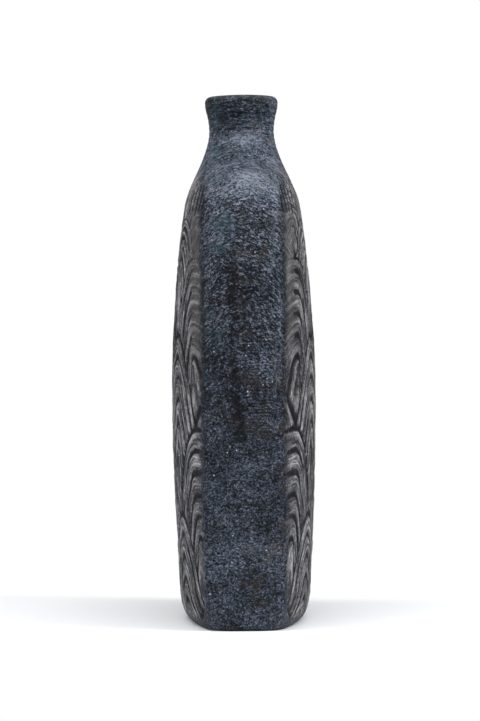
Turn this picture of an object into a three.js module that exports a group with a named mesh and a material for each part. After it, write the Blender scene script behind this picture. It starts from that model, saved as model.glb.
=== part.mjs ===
// A stoneware flask vase, built from slabs of clay the way a potter builds it.
//
// Units are millimetres and +Z is up. The foot rests on z = 0 and its centre is the origin.
// The two broad faces look towards +Y and -Y, the two narrow sides towards +X and -X.
//
// Front and back walls are bulging slabs. A flat strip closes each narrow side and ends in an
// arch at the shoulder. A base slab carries the walls, and a collar and a rolled lip finish the
// neck. Soft coils of clay back the upright seams and the joint with the base from inside.

import * as THREE from "three";

// ---------- Driving dimensions ----------

const height = 300; // foot to lip
const bodyWidth = 230; // across the narrow sides at the widest
const bodyDepth = 82.4; // across the broad faces at the belly
const bellyHeight = 128; // where the body is widest and deepest

const heelInset = 3.9; // how much smaller each half is at the heel than at the belly
const heelHeight = 16; // top of the rounding that ends in the foot
const footInset = 6.8; // how far that rounding turns in to the flat foot

const sideStripWidth = 45; // flat strip of each narrow side
const sideBatter = 1.5; // how far each strip leans in from the belly up to the shoulder's corner
const archRise = 24; // height of the strip's arched top
const cornerRise = 56; // height of the rounded corner between side and shoulder
const cornerRun = 41; // how far that corner reaches in
const shoulderSlope = 0.22; // rise of the shoulder over its run towards the neck

const shoulderDepth = 65; // across the broad faces where they turn in towards the neck
const shoulderDrop = 60; // from the lip down to that line
const crownDrop = 46; // from the lip down to the top of the strip's arch
const collarDrop = 34; // from the lip down to the joint of body and collar
const waistDrop = 20; // from the lip down to the narrowest part of the neck
const neckDiameter = 37.3; // outside, at the waist
const neckFillet = 15.4; // run of the hollow curve between shoulder and neck

const lipHeight = 9; // rolled ring on top of the collar
const lipOverhang = 2.35; // how far the lip stands out beyond the waist
const lipRound = 4.4; // radius of the lip's outer top edge
const mouthFlare = 1.2; // how much the mouth widens from the bore

const wall = 5.5; // thickness of every slab and of the neck
const baseThickness = 8;
const seamInset = 3.9; // how far a mitred seam steps in across the thickness of a strip
const coilRadius = 3.4; // coils that back the seams
const jointGap = 0.3; // left between any two pieces

// ---------- Resolution of the curved surfaces ----------

const broadSteps = 12; // along one broad face
const sideSteps = 4; // across one narrow side
const heelSteps = 5; // levels in the foot's rounding
const flankSteps = 6; // levels up the side
const cornerSteps = 4; // levels in the corner below the arch
const archSteps = 9; // levels in the arched top
const shoulderSteps = 3; // levels between arch and collar
const collarSteps = 6; // levels in the collar
const lipSegments = 32;
const coilSides = 6;
const coilSteps = 9;
const baseCoilSteps = 40;
const outlineSamples = 60; // points on each stretch of an outline

// ---------- Heights and half sizes that follow from them ----------

const halfWidth = bodyWidth / 2;
const halfDepth = bodyDepth / 2;
const halfStrip = sideStripWidth / 2;
const neckRadius = neckDiameter / 2;
const crownHeight = height - crownDrop;
const springHeight = crownHeight - archRise;
const cornerHeight = crownHeight - cornerRise;
const shoulderHeight = height - shoulderDrop;
const collarHeight = height - collarDrop;
const waistHeight = height - waistDrop;
const lipBottom = height - lipHeight;

// ---------- Materials ----------

function clay(colour, roughness) {
  return new THREE.MeshStandardMaterial({ color: colour, roughness, metalness: 0 });
}

const carvedClay = clay(0x4a4b50, 0.62);
const burnishedClay = clay(0x363b43, 0.45);
const neckClay = clay(0x30363e, 0.45);
const footClay = clay(0x3a3d43, 0.7);
const innerClay = clay(0x2b2c2f, 0.9);

// ---------- Outlines of the outside ----------

// The rounding at the foot, from the flat foot out to the heel.
function startFromFoot(path, heel) {
  const foot = heel - footInset;
  path.moveTo(foot, 0);
  path.bezierCurveTo(foot + footInset * 0.6, 0, heel - footInset * 0.1, heelHeight * 0.4, heel, heelHeight);
}

// The curve from the heel out to the belly.
function swellToBelly(path, heel, belly) {
  const lower = heelHeight + (bellyHeight - heelHeight) * 0.33;
  const upper = heelHeight + (bellyHeight - heelHeight) * 0.6;
  path.bezierCurveTo(heel + heelInset * 0.54, lower, belly, upper, belly, bellyHeight);
}

// The neck above its waist, flaring out to the joint with the lip.
function flareToLip(path) {
  const flared = neckRadius + lipOverhang * 0.65;
  path.quadraticCurveTo(neckRadius, (waistHeight + lipBottom) / 2, flared, lipBottom);
}

// Half depth against height, as the outline looks from a narrow side.
function depthOutline() {
  const path = new THREE.Path();
  const heel = halfDepth - heelInset;
  const shoulder = shoulderDepth / 2;
  const rise = shoulderHeight - bellyHeight;
  const fall = waistHeight - shoulderHeight;
  startFromFoot(path, heel);
  swellToBelly(path, heel, halfDepth);
  path.bezierCurveTo(
    halfDepth,
    bellyHeight + rise * 0.29,
    shoulder + (halfDepth - shoulder) * 0.7,
    bellyHeight + rise * 0.71,
    shoulder,
    shoulderHeight,
  );
  path.bezierCurveTo(
    shoulder - (shoulder - neckRadius) * 0.23,
    shoulderHeight + fall * 0.275,
    neckRadius,
    shoulderHeight + fall * 0.7,
    neckRadius,
    waistHeight,
  );
  flareToLip(path);
  return path;
}

// Half width against height, as the outline looks from a broad face.
function widthOutline() {
  const path = new THREE.Path();
  const heel = halfWidth - heelInset;
  const top = halfWidth - sideBatter;
  const crown = top - cornerRun;
  const filletStart = neckRadius + neckFillet;
  const rise = cornerHeight - bellyHeight;
  startFromFoot(path, heel);
  swellToBelly(path, heel, halfWidth);
  path.bezierCurveTo(
    halfWidth,
    bellyHeight + rise * 0.4,
    top + sideBatter * 0.5,
    cornerHeight - rise * 0.3,
    top,
    cornerHeight,
  );
  path.bezierCurveTo(
    top - sideBatter * 0.8,
    cornerHeight + cornerRise * 0.5,
    crown + cornerRun * 0.52,
    crownHeight - cornerRun * 0.52 * shoulderSlope,
    crown,
    crownHeight,
  );
  path.lineTo(filletStart, crownHeight + (crown - filletStart) * shoulderSlope);
  path.quadraticCurveTo(
    neckRadius,
    crownHeight + (crown - neckRadius) * shoulderSlope,
    neckRadius,
    waistHeight,
  );
  flareToLip(path);
  return path;
}

// The outline as points, moved inwards by the given thickness.
function outlinePoints(path, inset) {
  const points = path.getPoints(outlineSamples);
  return points.map((point, i) => {
    const before = points[Math.max(i - 1, 0)];
    const after = points[Math.min(i + 1, points.length - 1)];
    const along = after.clone().sub(before).normalize();
    return new THREE.Vector2(point.x - along.y * inset, point.y + along.x * inset);
  });
}

// The half size that an outline has at a height.
function halfSizeAt(points, z) {
  const above = points.findIndex((point) => point.y >= z);
  if (above === 0) return points[0].x;
  if (above < 0) return points[points.length - 1].x;
  const low = points[above - 1];
  const high = points[above];
  return THREE.MathUtils.mapLinear(z, low.y, high.y, low.x, high.x);
}

const outlines = {
  outer: { depth: outlinePoints(depthOutline(), 0), width: outlinePoints(widthOutline(), 0) },
  inner: { depth: outlinePoints(depthOutline(), wall), width: outlinePoints(widthOutline(), wall) },
};

// ---------- Level sections ----------

// Half width of the flat strip at a height: straight, then an elliptical arch that closes at the crown.
function stripHalfAt(z, clearance) {
  const half = halfStrip - clearance;
  const rise = archRise - clearance;
  const climb = THREE.MathUtils.clamp((z - springHeight) / rise, 0, 1);
  return half * Math.sqrt(1 - climb * climb);
}

// 0 where a section has flat narrow sides, 1 where it is a plain ellipse.
function roundnessAt(z) {
  return THREE.MathUtils.smoothstep(z, springHeight + archRise * 0.2, crownHeight);
}

// The sizes of the section at a height, outside or inside the wall.
function sectionAt(z, face, clearance) {
  const inside = face === "inner";
  const share = inside ? 1 - seamInset / halfStrip : 1;
  return {
    width: halfSizeAt(outlines[face].width, z),
    depth: halfSizeAt(outlines[face].depth, z),
    strip: stripHalfAt(z, clearance) * share,
    round: roundnessAt(inside ? z + wall : z),
    z,
  };
}

// The angle on the section's ellipse where its narrow side ends.
function seamAngle(section) {
  return Math.asin(Math.min(section.strip / section.depth, 1));
}

// A point on the broad face: along runs from 1 at the +X seam to -1 at the -X seam.
function broadPoint(section, along, side, push) {
  const seam = seamAngle(section);
  const angle = Math.PI / 2 - along * (Math.PI / 2 - seam);
  const flatX = section.width * along;
  const flatY = section.strip + (section.depth - section.strip) * (1 - along * along);
  const x = THREE.MathUtils.lerp(flatX, section.width * Math.cos(angle), section.round);
  const y = THREE.MathUtils.lerp(flatY, section.depth * Math.sin(angle), section.round);
  return new THREE.Vector3(x, side * (y + push), section.z);
}

// A point on the narrow side: across runs from -1 at its -Y seam to 1 at its +Y seam.
function narrowPoint(section, across, end) {
  const angle = across * seamAngle(section);
  const x = THREE.MathUtils.lerp(section.width, section.width * Math.cos(angle), section.round);
  const y = THREE.MathUtils.lerp(section.strip * across, section.depth * Math.sin(angle), section.round);
  return new THREE.Vector3(end * x, y, section.z);
}

// Evenly spaced values from first to last.
function spread(first, last, steps) {
  return Array.from({ length: steps + 1 }, (_, i) => THREE.MathUtils.lerp(first, last, i / steps));
}

// The whole way round a section, turning from +X to +Y.
function loopAround(section) {
  const front = spread(1, -1, broadSteps).slice(0, -1);
  const left = spread(1, -1, sideSteps).slice(0, -1);
  return [
    ...front.map((along) => broadPoint(section, along, 1, 0)),
    ...left.map((across) => narrowPoint(section, across, -1)),
    ...front.map((along) => broadPoint(section, -along, -1, 0)),
    ...left.map((across) => narrowPoint(section, -across, 1)),
  ];
}

// Heights in the strip's arch, closer together towards the crown.
function archLevels(clearance, lastAngle) {
  const rise = archRise - clearance;
  return spread(0, lastAngle, archSteps).map((angle) => springHeight + rise * Math.sin(angle));
}

// ---------- Closed solids from rings of points ----------

// Joins rings of points into a skin. Each ring closes on itself. Without a lid the last ring joins
// the first one, and otherwise both ends get the lid's triangles. Every four-sided patch is split
// along its shorter diagonal, so that two pieces that meet at a seam have the same facets there.
function skin(rings, lid) {
  const size = rings[0].length;
  const points = rings.flat();
  const positions = points.flatMap((point) => [point.x, point.y, point.z]);
  const faces = [];
  const ringPairs = lid ? rings.length - 1 : rings.length;
  for (let i = 0; i < ringPairs; i += 1) {
    const here = i * size;
    const next = ((i + 1) % rings.length) * size;
    for (let j = 0; j < size; j += 1) {
      const k = (j + 1) % size;
      const rising = points[here + j].distanceTo(points[next + k]);
      const falling = points[here + k].distanceTo(points[next + j]);
      if (rising < falling) {
        faces.push(here + j, here + k, next + k, here + j, next + k, next + j);
      } else {
        faces.push(here + j, here + k, next + j, here + k, next + k, next + j);
      }
    }
  }
  const top = (rings.length - 1) * size;
  for (const [a, b, c] of lid || []) {
    faces.push(a, c, b);
    faces.push(top + a, top + b, top + c);
  }
  const geometry = new THREE.BufferGeometry();
  geometry.setAttribute("position", new THREE.Float32BufferAttribute(positions, 3));
  geometry.setIndex(faces);
  return geometry;
}

// Lid of a slab whose ring runs along one face and back along the other.
function slabLid(size) {
  const lid = [];
  for (let i = 0; i < size / 2 - 1; i += 1) {
    lid.push([i, i + 1, size - 2 - i], [i, size - 2 - i, size - 1 - i]);
  }
  return lid;
}

// Lid of a round or rounded ring, as a fan from its first point.
function fanLid(size) {
  const lid = [];
  for (let i = 1; i < size - 1; i += 1) {
    lid.push([0, i, i + 1]);
  }
  return lid;
}

function named(name, geometry, material) {
  geometry.computeVertexNormals();
  const mesh = new THREE.Mesh(geometry, material);
  mesh.name = name;
  return mesh;
}

// ---------- Sub-parts ----------

// Flat foot and the lower part of its rounding.
function baseSlab() {
  const levels = spread(0, Math.PI / 2, heelSteps).map((angle) => baseThickness * (1 - Math.cos(angle)));
  const rings = levels.map((z) => loopAround(sectionAt(z, "outer", 0)));
  return named("base_slab", skin(rings, fanLid(rings[0].length)), footClay);
}

// A bulging slab: one broad face from the base up over the shoulder to the collar.
function broadWall(name, side) {
  const bottom = baseThickness + jointGap;
  const levels = [
    ...spread(bottom, heelHeight, heelSteps).slice(0, -1),
    ...spread(heelHeight, cornerHeight, flankSteps).slice(0, -1),
    ...spread(cornerHeight, springHeight, cornerSteps).slice(0, -1),
    ...archLevels(0, Math.PI / 2),
    ...spread(crownHeight, collarHeight, shoulderSteps).slice(1),
  ];
  const places = spread(side, -side, broadSteps);
  const rings = levels.map((z) => {
    const outer = sectionAt(z, "outer", 0);
    const inner = sectionAt(z, "inner", 0);
    const outside = places.map((along) => broadPoint(outer, along, side, jointGap / 2));
    const inside = places.map((along) => broadPoint(inner, along, side, jointGap / 2));
    return [...outside, ...inside.reverse()];
  });
  return named(name, skin(rings, slabLid(rings[0].length)), carvedClay);
}

// A flat strip that closes one narrow side and ends in the arch.
function sideWall(name, end) {
  const bottom = baseThickness + jointGap;
  const tipAngle = THREE.MathUtils.degToRad(82);
  const clearance = jointGap;
  const levels = [
    ...spread(bottom, heelHeight, heelSteps).slice(0, -1),
    ...spread(heelHeight, cornerHeight, flankSteps).slice(0, -1),
    ...spread(cornerHeight, springHeight, cornerSteps).slice(0, -1),
    ...archLevels(clearance, tipAngle),
  ];
  const places = spread(-end, end, sideSteps);
  const rings = levels.map((z) => {
    const outer = sectionAt(z, "outer", clearance);
    const inner = sectionAt(z, "inner", clearance);
    const outside = places.map((across) => narrowPoint(outer, across, end));
    const inside = places.map((across) => narrowPoint(inner, across, end));
    return [...outside, ...inside.reverse()];
  });
  return named(name, skin(rings, slabLid(rings[0].length)), burnishedClay);
}

// The thrown collar: root of the neck, waist, and the start of the flare.
function neckCollar() {
  const levels = spread(collarHeight + jointGap, lipBottom - jointGap / 2, collarSteps);
  const outside = levels.map((z) => loopAround(sectionAt(z, "outer", 0)));
  const inside = levels.map((z) => loopAround(sectionAt(z, "inner", 0)));
  return named("neck_collar", skin([...outside, ...inside.reverse()], null), neckClay);
}

// The rolled lip: a turned ring with a round outer edge and a softly eased mouth.
function lipRing() {
  const bottom = lipBottom + jointGap / 2;
  const outerJoint = halfSizeAt(outlines.outer.depth, lipBottom);
  const innerJoint = halfSizeAt(outlines.inner.depth, lipBottom - wall / 2);
  const rim = neckRadius + lipOverhang;
  const mouth = innerJoint + mouthFlare;
  const profile = new THREE.Path();
  profile.moveTo(innerJoint, bottom);
  profile.lineTo(outerJoint, bottom);
  profile.quadraticCurveTo(rim, bottom + (height - lipRound - bottom) / 2, rim, height - lipRound);
  profile.absarc(rim - lipRound, height - lipRound, lipRound, 0, Math.PI / 2, false);
  profile.bezierCurveTo(mouth, height, innerJoint, height - lipRound, innerJoint, bottom);
  const geometry = new THREE.LatheGeometry(profile.getPoints(4), lipSegments);
  geometry.rotateX(Math.PI / 2);
  return named("lip_ring", geometry, neckClay);
}

// Where the middle of a coil lies, in the inside corner between a strip and a broad wall.
function coilPlace(z, end, side) {
  const inner = sectionAt(z, "inner", 0);
  const reach = coilRadius + jointGap;
  const x = inner.width - reach;
  const along = x / inner.width;
  const lean = (2 * (inner.depth - inner.strip) * along) / inner.width;
  const y = broadPoint(inner, along, 1, 0).y - reach * Math.hypot(1, lean);
  return new THREE.Vector3(end * x, side * y, z);
}

// A soft coil pressed up one inside corner.
function cornerCoil(name, end, side) {
  const bottom = baseThickness + 2 * coilRadius + 4 * jointGap;
  const top = springHeight - wall;
  const angles = spread(0, 2 * Math.PI, coilSides).slice(0, -1);
  const rings = spread(bottom, top, coilSteps).map((z) => {
    const middle = coilPlace(z, end, side);
    return angles.map(
      (angle) =>
        new THREE.Vector3(
          middle.x + coilRadius * Math.cos(angle),
          middle.y + coilRadius * Math.sin(angle),
          z,
        ),
    );
  });
  return named(name, skin(rings, fanLid(coilSides)), innerClay);
}

// A soft coil pressed into the joint of walls and base, all the way round.
function baseCoil() {
  const z = baseThickness + jointGap + coilRadius;
  const reach = coilRadius + jointGap;
  const inner = sectionAt(baseThickness + jointGap, "inner", 0);
  const room = {
    width: inner.width - reach - coilRadius * 0.5,
    depth: inner.depth - reach,
    strip: inner.strip - reach,
    round: 0,
    z,
  };
  const stops = [];
  for (const along of [0.84, 0.42, 0, -0.42, -0.84]) {
    stops.push(broadPoint(room, along, 1, 0));
  }
  for (const across of [0.5, -0.5]) {
    stops.push(narrowPoint(room, across, -1));
  }
  for (const along of [-0.84, -0.42, 0, 0.42, 0.84]) {
    stops.push(broadPoint(room, along, -1, 0));
  }
  for (const across of [-0.5, 0.5]) {
    stops.push(narrowPoint(room, across, 1));
  }
  const route = new THREE.CatmullRomCurve3(stops, true, "centripetal");
  const angles = spread(0, 2 * Math.PI, coilSides).slice(0, -1);
  const rings = spread(0, 1, baseCoilSteps).slice(0, -1).map((share) => {
    const middle = route.getPointAt(share);
    const along = route.getTangentAt(share);
    const outwards = new THREE.Vector3(along.y, -along.x, 0).normalize();
    return angles.map((angle) =>
      middle
        .clone()
        .addScaledVector(outwards, coilRadius * Math.cos(angle))
        .add(new THREE.Vector3(0, 0, -coilRadius * Math.sin(angle))),
    );
  });
  return named("base_coil", skin(rings, null), innerClay);
}

// ---------- Assembly ----------

const walls = new THREE.Group();
walls.add(broadWall("front_wall", -1));
walls.add(broadWall("back_wall", 1));
walls.add(sideWall("left_side_wall", -1));
walls.add(sideWall("right_side_wall", 1));

const neck = new THREE.Group();
neck.add(neckCollar());
neck.add(lipRing());

const seamCoils = new THREE.Group();
seamCoils.add(cornerCoil("coil_front_left", -1, -1));
seamCoils.add(cornerCoil("coil_front_right", 1, -1));
seamCoils.add(cornerCoil("coil_back_left", -1, 1));
seamCoils.add(cornerCoil("coil_back_right", 1, 1));
seamCoils.add(baseCoil());

const vase = new THREE.Group();
vase.add(baseSlab());
vase.add(walls);
vase.add(neck);
vase.add(seamCoils);

export default vase;
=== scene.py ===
# A stoneware flask vase: carved broad walls, scraped narrow sides, a thrown neck and a rolled lip.
# Metres, +Z up. The broad walls face +Y and -Y, the narrow sides face +X and -X.

import math

import bmesh
import bpy
import numpy as np
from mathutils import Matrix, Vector


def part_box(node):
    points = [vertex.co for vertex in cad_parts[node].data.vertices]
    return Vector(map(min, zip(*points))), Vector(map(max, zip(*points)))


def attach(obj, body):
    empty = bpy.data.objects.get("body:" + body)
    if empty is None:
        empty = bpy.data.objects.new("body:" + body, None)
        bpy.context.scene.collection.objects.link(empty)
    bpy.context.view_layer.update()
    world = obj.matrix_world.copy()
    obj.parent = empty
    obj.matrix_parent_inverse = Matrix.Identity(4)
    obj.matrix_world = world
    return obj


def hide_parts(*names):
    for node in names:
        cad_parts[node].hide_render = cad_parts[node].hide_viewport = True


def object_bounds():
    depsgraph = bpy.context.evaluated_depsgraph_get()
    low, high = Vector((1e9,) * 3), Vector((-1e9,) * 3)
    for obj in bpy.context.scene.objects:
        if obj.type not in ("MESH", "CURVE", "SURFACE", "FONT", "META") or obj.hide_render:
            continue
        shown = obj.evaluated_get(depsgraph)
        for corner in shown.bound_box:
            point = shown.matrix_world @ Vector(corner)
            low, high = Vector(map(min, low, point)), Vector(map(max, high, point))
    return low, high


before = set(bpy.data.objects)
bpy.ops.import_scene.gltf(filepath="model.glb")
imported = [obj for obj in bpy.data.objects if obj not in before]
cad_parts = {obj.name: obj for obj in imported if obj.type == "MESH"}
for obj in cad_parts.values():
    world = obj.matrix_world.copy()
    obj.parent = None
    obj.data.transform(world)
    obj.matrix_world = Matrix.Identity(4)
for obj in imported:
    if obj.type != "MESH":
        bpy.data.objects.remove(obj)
cad_low, cad_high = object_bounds()

MM = 0.001
FULL_TURN = 2 * math.pi

# ---------- Sizes of the pot ----------

# The seams of the skin run this far outside the boxes of the side walls.
SEAM_GAP = 0.3 * MM
CROWN_GAP = 0.5 * MM

HEIGHT = cad_high.z
HALF_WIDTH = cad_high.x
HALF_DEPTH = cad_high.y
BASE_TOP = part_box("base_slab")[1].z
STRIP_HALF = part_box("right_side_wall")[1].y + SEAM_GAP
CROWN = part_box("right_side_wall")[1].z + CROWN_GAP
COLLAR_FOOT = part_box("front_wall")[1].z
LIP_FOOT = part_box("neck_collar")[1].z
LIP_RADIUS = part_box("lip_ring")[1].x

WALL = 5.5 * MM
BELLY = 128 * MM
HEEL_RISE = 16 * MM
HEEL_INSET = 3.9 * MM
FOOT_INSET = 6.8 * MM
FOOT_PINCH = 4.0 * MM
ARCH_RISE = 24 * MM
CORNER_RISE = 56 * MM
CORNER_RUN = 41 * MM
SIDE_BATTER = 1.5 * MM
SHOULDER_SLOPE = 0.22
SHOULDER_HALF = 32.5 * MM
SHOULDER_LINE = HEIGHT - 60 * MM
WAIST = HEIGHT - 20 * MM
LIP_OVERHANG = 2.35 * MM
NECK_RADIUS = LIP_RADIUS - LIP_OVERHANG
NECK_FILLET = 15.4 * MM
LIP_ROUND = 3.2 * MM
MOUTH_FLARE = 1.2 * MM

# Cells of the skin: round each broad wall and narrow side, and up each stretch.
BROAD_CELLS = 240
STRIP_CELLS = 96
HEEL_ROWS = 14
SIDE_ROWS = 660
SHOULDER_ROWS = 60
COLLAR_ROWS = 56
# The skin's corners are rounded by this much along the narrow sides, on the neck and at the foot.
EDGE_SOFTNESS = 4.2 * MM
NECK_SOFTNESS = 0.8 * MM
NECK_BLEND = 8 * MM
FOOT_SOFTNESS = 9.0 * MM
FOOT_BLEND = HEEL_RISE * 1.4
# One cell of a wall's inner face covers this many of its outer face.
INNER_STEP = 6
NECK_INNER_STEP = 7
MERGE_DISTANCE = 0.002 * MM
SHARP_ANGLE = math.radians(62)

# Width and height of the slow and the quick unevenness that hands leave on clay.
SLOW_WOBBLE = (42 * MM, 1.5 * MM)
QUICK_WOBBLE = (11 * MM, 0.45 * MM)
COIL_RADIUS = 3.1 * MM
LIP_RING_DEPTH = 0.03 * MM
LIP_STEPS = 288


# ---------- Outlines ----------
# The plain shares in the outlines place the handles of their Bezier stretches.

def bezier(*points, steps=80):
    """Points along one Bezier stretch, without its last point."""
    points = np.array(points, float)
    degree = len(points) - 1
    t = np.linspace(0, 1, steps, endpoint=False)[:, None]
    line = np.zeros((steps, points.shape[1]))
    for k, point in enumerate(points):
        line += math.comb(degree, k) * t**k * (1 - t) ** (degree - k) * point
    return line


def outline(half, foot_inset, middle):
    """Half size against height: heel, swell to the belly, the given middle, then the flare to the lip."""
    heel = half - HEEL_INSET
    foot = heel - foot_inset
    rise = BELLY - HEEL_RISE
    foot_reach = (foot + foot_inset * 0.6, 0)
    heel_reach = (heel - foot_inset * 0.1, HEEL_RISE * 0.4)
    heel_curve = bezier((foot, 0), foot_reach, heel_reach, (heel, HEEL_RISE))
    swell_start = (heel + HEEL_INSET * 0.54, HEEL_RISE + rise * 0.33)
    swell_end = (half, HEEL_RISE + rise * 0.6)
    swell = bezier((heel, HEEL_RISE), swell_start, swell_end, (half, BELLY))
    flared = NECK_RADIUS + LIP_OVERHANG * 0.65
    flare = bezier((NECK_RADIUS, WAIST), (NECK_RADIUS, (WAIST + LIP_FOOT) / 2), (flared, LIP_FOOT))
    return np.vstack([heel_curve, swell, *middle, flare, [(flared, LIP_FOOT)]])


def depth_outline():
    rise = SHOULDER_LINE - BELLY
    fall = WAIST - SHOULDER_LINE
    inset = HALF_DEPTH - SHOULDER_HALF
    turn = SHOULDER_HALF - NECK_RADIUS
    shoulder = (SHOULDER_HALF, SHOULDER_LINE)
    upper_start = (HALF_DEPTH, BELLY + rise * 0.29)
    upper_end = (SHOULDER_HALF + inset * 0.7, BELLY + rise * 0.71)
    upper = bezier((HALF_DEPTH, BELLY), upper_start, upper_end, shoulder)
    throat_start = (SHOULDER_HALF - turn * 0.23, SHOULDER_LINE + fall * 0.275)
    throat_end = (NECK_RADIUS, SHOULDER_LINE + fall * 0.7)
    throat = bezier(shoulder, throat_start, throat_end, (NECK_RADIUS, WAIST))
    return outline(HALF_DEPTH, FOOT_INSET * 1.2, [upper, throat])


def width_outline():
    corner = CROWN - CORNER_RISE
    rise = corner - BELLY
    top = HALF_WIDTH - SIDE_BATTER
    crown = top - CORNER_RUN
    fillet = NECK_RADIUS + NECK_FILLET
    reach = CORNER_RUN * 0.52
    side_end = (top + SIDE_BATTER * 0.5, corner - rise * 0.3)
    side = bezier((HALF_WIDTH, BELLY), (HALF_WIDTH, BELLY + rise * 0.4), side_end, (top, corner))
    turn_start = (top - SIDE_BATTER * 0.8, corner + CORNER_RISE * 0.5)
    turn = bezier((top, corner), turn_start, (crown + reach, CROWN - reach * SHOULDER_SLOPE), (crown, CROWN))
    fillet_start = (fillet, CROWN + (crown - fillet) * SHOULDER_SLOPE)
    slope = bezier((crown, CROWN), fillet_start)
    fillet_bend = (NECK_RADIUS, CROWN + (crown - NECK_RADIUS) * SHOULDER_SLOPE)
    throat = bezier(fillet_start, fillet_bend, (NECK_RADIUS, WAIST))
    return outline(HALF_WIDTH, FOOT_INSET, [side, turn, slope, throat])


DEPTH = depth_outline()
WIDTH = width_outline()


def half_at(line, z):
    return np.interp(z, line[:, 1], line[:, 0])


def spaced_heights(low, high, rows):
    """Heights evenly spaced along the width outline, so that the flat shoulder gets its share of rows."""
    inside = WIDTH[(WIDTH[:, 1] > low) & (WIDTH[:, 1] < high)]
    line = np.vstack([(half_at(WIDTH, low), low), inside, (half_at(WIDTH, high), high)])
    run = np.concatenate([[0], np.cumsum(np.hypot(*np.diff(line, axis=0).T))])
    return np.interp(np.linspace(0, run[-1], rows + 1), run, line[:, 1])


# ---------- The smooth skin, before any tool touches it ----------

def smooth_step(low, high, value):
    t = np.clip((value - low) / (high - low), 0, 1)
    return t * t * (3 - 2 * t)


def mix(a, b, share):
    return a + (b - a) * share


def soften(ring, radius, samples=2048):
    """Rounds the corners of a closed ring, with a Gaussian of this radius along its length."""
    closed = np.vstack([ring, ring[:1]])
    run = np.concatenate([[0], np.cumsum(np.hypot(*np.diff(closed, axis=0).T))])
    even = np.linspace(0, run[-1], samples, endpoint=False)
    waves = FULL_TURN * np.fft.rfftfreq(samples, run[-1] / samples)
    damping = np.exp(-((waves * radius) ** 2) / 2)
    smooth = []
    for axis in (0, 1):
        line = np.fft.irfft(np.fft.rfft(np.interp(even, run, closed[:, axis])) * damping, samples)
        smooth.append(np.interp(run[:-1], even, line, period=run[-1]))
    return np.column_stack(smooth)


def ring_at(z):
    """One level of the skin: the +Y wall from +X to -X, the -X side, the -Y wall, the +X side."""
    width = half_at(WIDTH, z)
    depth = half_at(DEPTH, z)
    spring = CROWN - ARCH_RISE
    climb = min(max((z - spring) / ARCH_RISE, 0), 1)
    heel = 1 - smooth_step(0, FOOT_BLEND, z)
    strip = STRIP_HALF * math.sqrt(1 - climb * climb) - FOOT_PINCH * heel
    roundness = float(smooth_step(spring + ARCH_RISE * 0.2, CROWN, z))
    seam = math.asin(min(strip / depth, 1))
    along = np.linspace(1, -1, BROAD_CELLS, endpoint=False)
    angle = math.pi / 2 - along * (math.pi / 2 - seam)
    broad_x = mix(width * along, width * np.cos(angle), roundness)
    broad_y = mix(strip + (depth - strip) * (1 - along**2), depth * np.sin(angle), roundness)
    across = np.linspace(1, -1, STRIP_CELLS, endpoint=False)
    turn = across * seam
    strip_x = mix(width, width * np.cos(turn), roundness)
    strip_y = mix(strip * across, depth * np.sin(turn), roundness)
    half = np.vstack([np.column_stack([broad_x, broad_y]), np.column_stack([-strip_x, strip_y])])
    radius = mix(EDGE_SOFTNESS, NECK_SOFTNESS, smooth_step(spring, CROWN + NECK_BLEND, z))
    radius = mix(radius, FOOT_SOFTNESS, heel)
    return soften(np.vstack([half, -half]), radius)


def skin(heights):
    """Rings as one array: row, column, xyz."""
    count = 2 * (BROAD_CELLS + STRIP_CELLS)
    return np.array([np.column_stack([ring_at(z), np.full(count, z)]) for z in heights])


def outward_of(grid):
    """Unit normals of rows of closed rings."""
    up = np.gradient(grid, axis=0)
    around = np.roll(grid, -2, axis=1) - np.roll(grid, 2, axis=1)
    normal = np.cross(around, up)
    return normal / np.maximum(np.linalg.norm(normal, axis=2, keepdims=True), 1e-12)


HEIGHTS = np.concatenate([
    spaced_heights(0, BASE_TOP, HEEL_ROWS)[:-1],
    spaced_heights(BASE_TOP, CROWN, SIDE_ROWS)[:-1],
    spaced_heights(CROWN, COLLAR_FOOT, SHOULDER_ROWS)[:-1],
    spaced_heights(COLLAR_FOOT, LIP_FOOT, COLLAR_ROWS),
])
BASE_ROW = HEEL_ROWS
CROWN_ROW = BASE_ROW + SIDE_ROWS
COLLAR_ROW = CROWN_ROW + SHOULDER_ROWS
LIP_ROW = COLLAR_ROW + COLLAR_ROWS

SKIN = skin(HEIGHTS)
OUTWARD = outward_of(SKIN)


def lining(rows):
    """The inner face under some rows of the skin: level with them at both ends, square to them between."""
    normal = OUTWARD[rows].copy()
    lift = np.minimum(np.arange(len(rows)), np.arange(len(rows))[::-1])
    normal[:, :, 2] *= np.clip(lift / (4 * INNER_STEP), 0, 1)[:, None]
    return SKIN[rows] - WALL * normal


# ---------- Meshes ----------

def new_piece(name, vertices, faces, outward=None):
    """A closed mesh with its doubles merged, its faces outwards, and its smooth skin's normals kept."""
    mesh = bpy.data.meshes.new(name)
    mesh.from_pydata([tuple(v) for v in vertices], [], faces)
    if outward is not None:
        attribute = mesh.attributes.new("outward", "FLOAT_VECTOR", "POINT")
        attribute.data.foreach_set("vector", np.asarray(outward, np.float32).ravel())
    shape = bmesh.new()
    shape.from_mesh(mesh)
    bmesh.ops.remove_doubles(shape, verts=shape.verts, dist=MERGE_DISTANCE)
    bmesh.ops.recalc_face_normals(shape, faces=shape.faces)
    shape.to_mesh(mesh)
    shape.free()
    mesh.shade_smooth()
    mesh.set_sharp_from_angle(angle=SHARP_ANGLE)
    piece = bpy.data.objects.new(name, mesh)
    bpy.context.scene.collection.objects.link(piece)
    return piece


def circle(radius, z, count):
    """Points evenly round a level circle about the axis."""
    turn = np.linspace(0, FULL_TURN, count, endpoint=False)
    return np.column_stack([radius * np.cos(turn), radius * np.sin(turn), np.full(count, z)])


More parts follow.
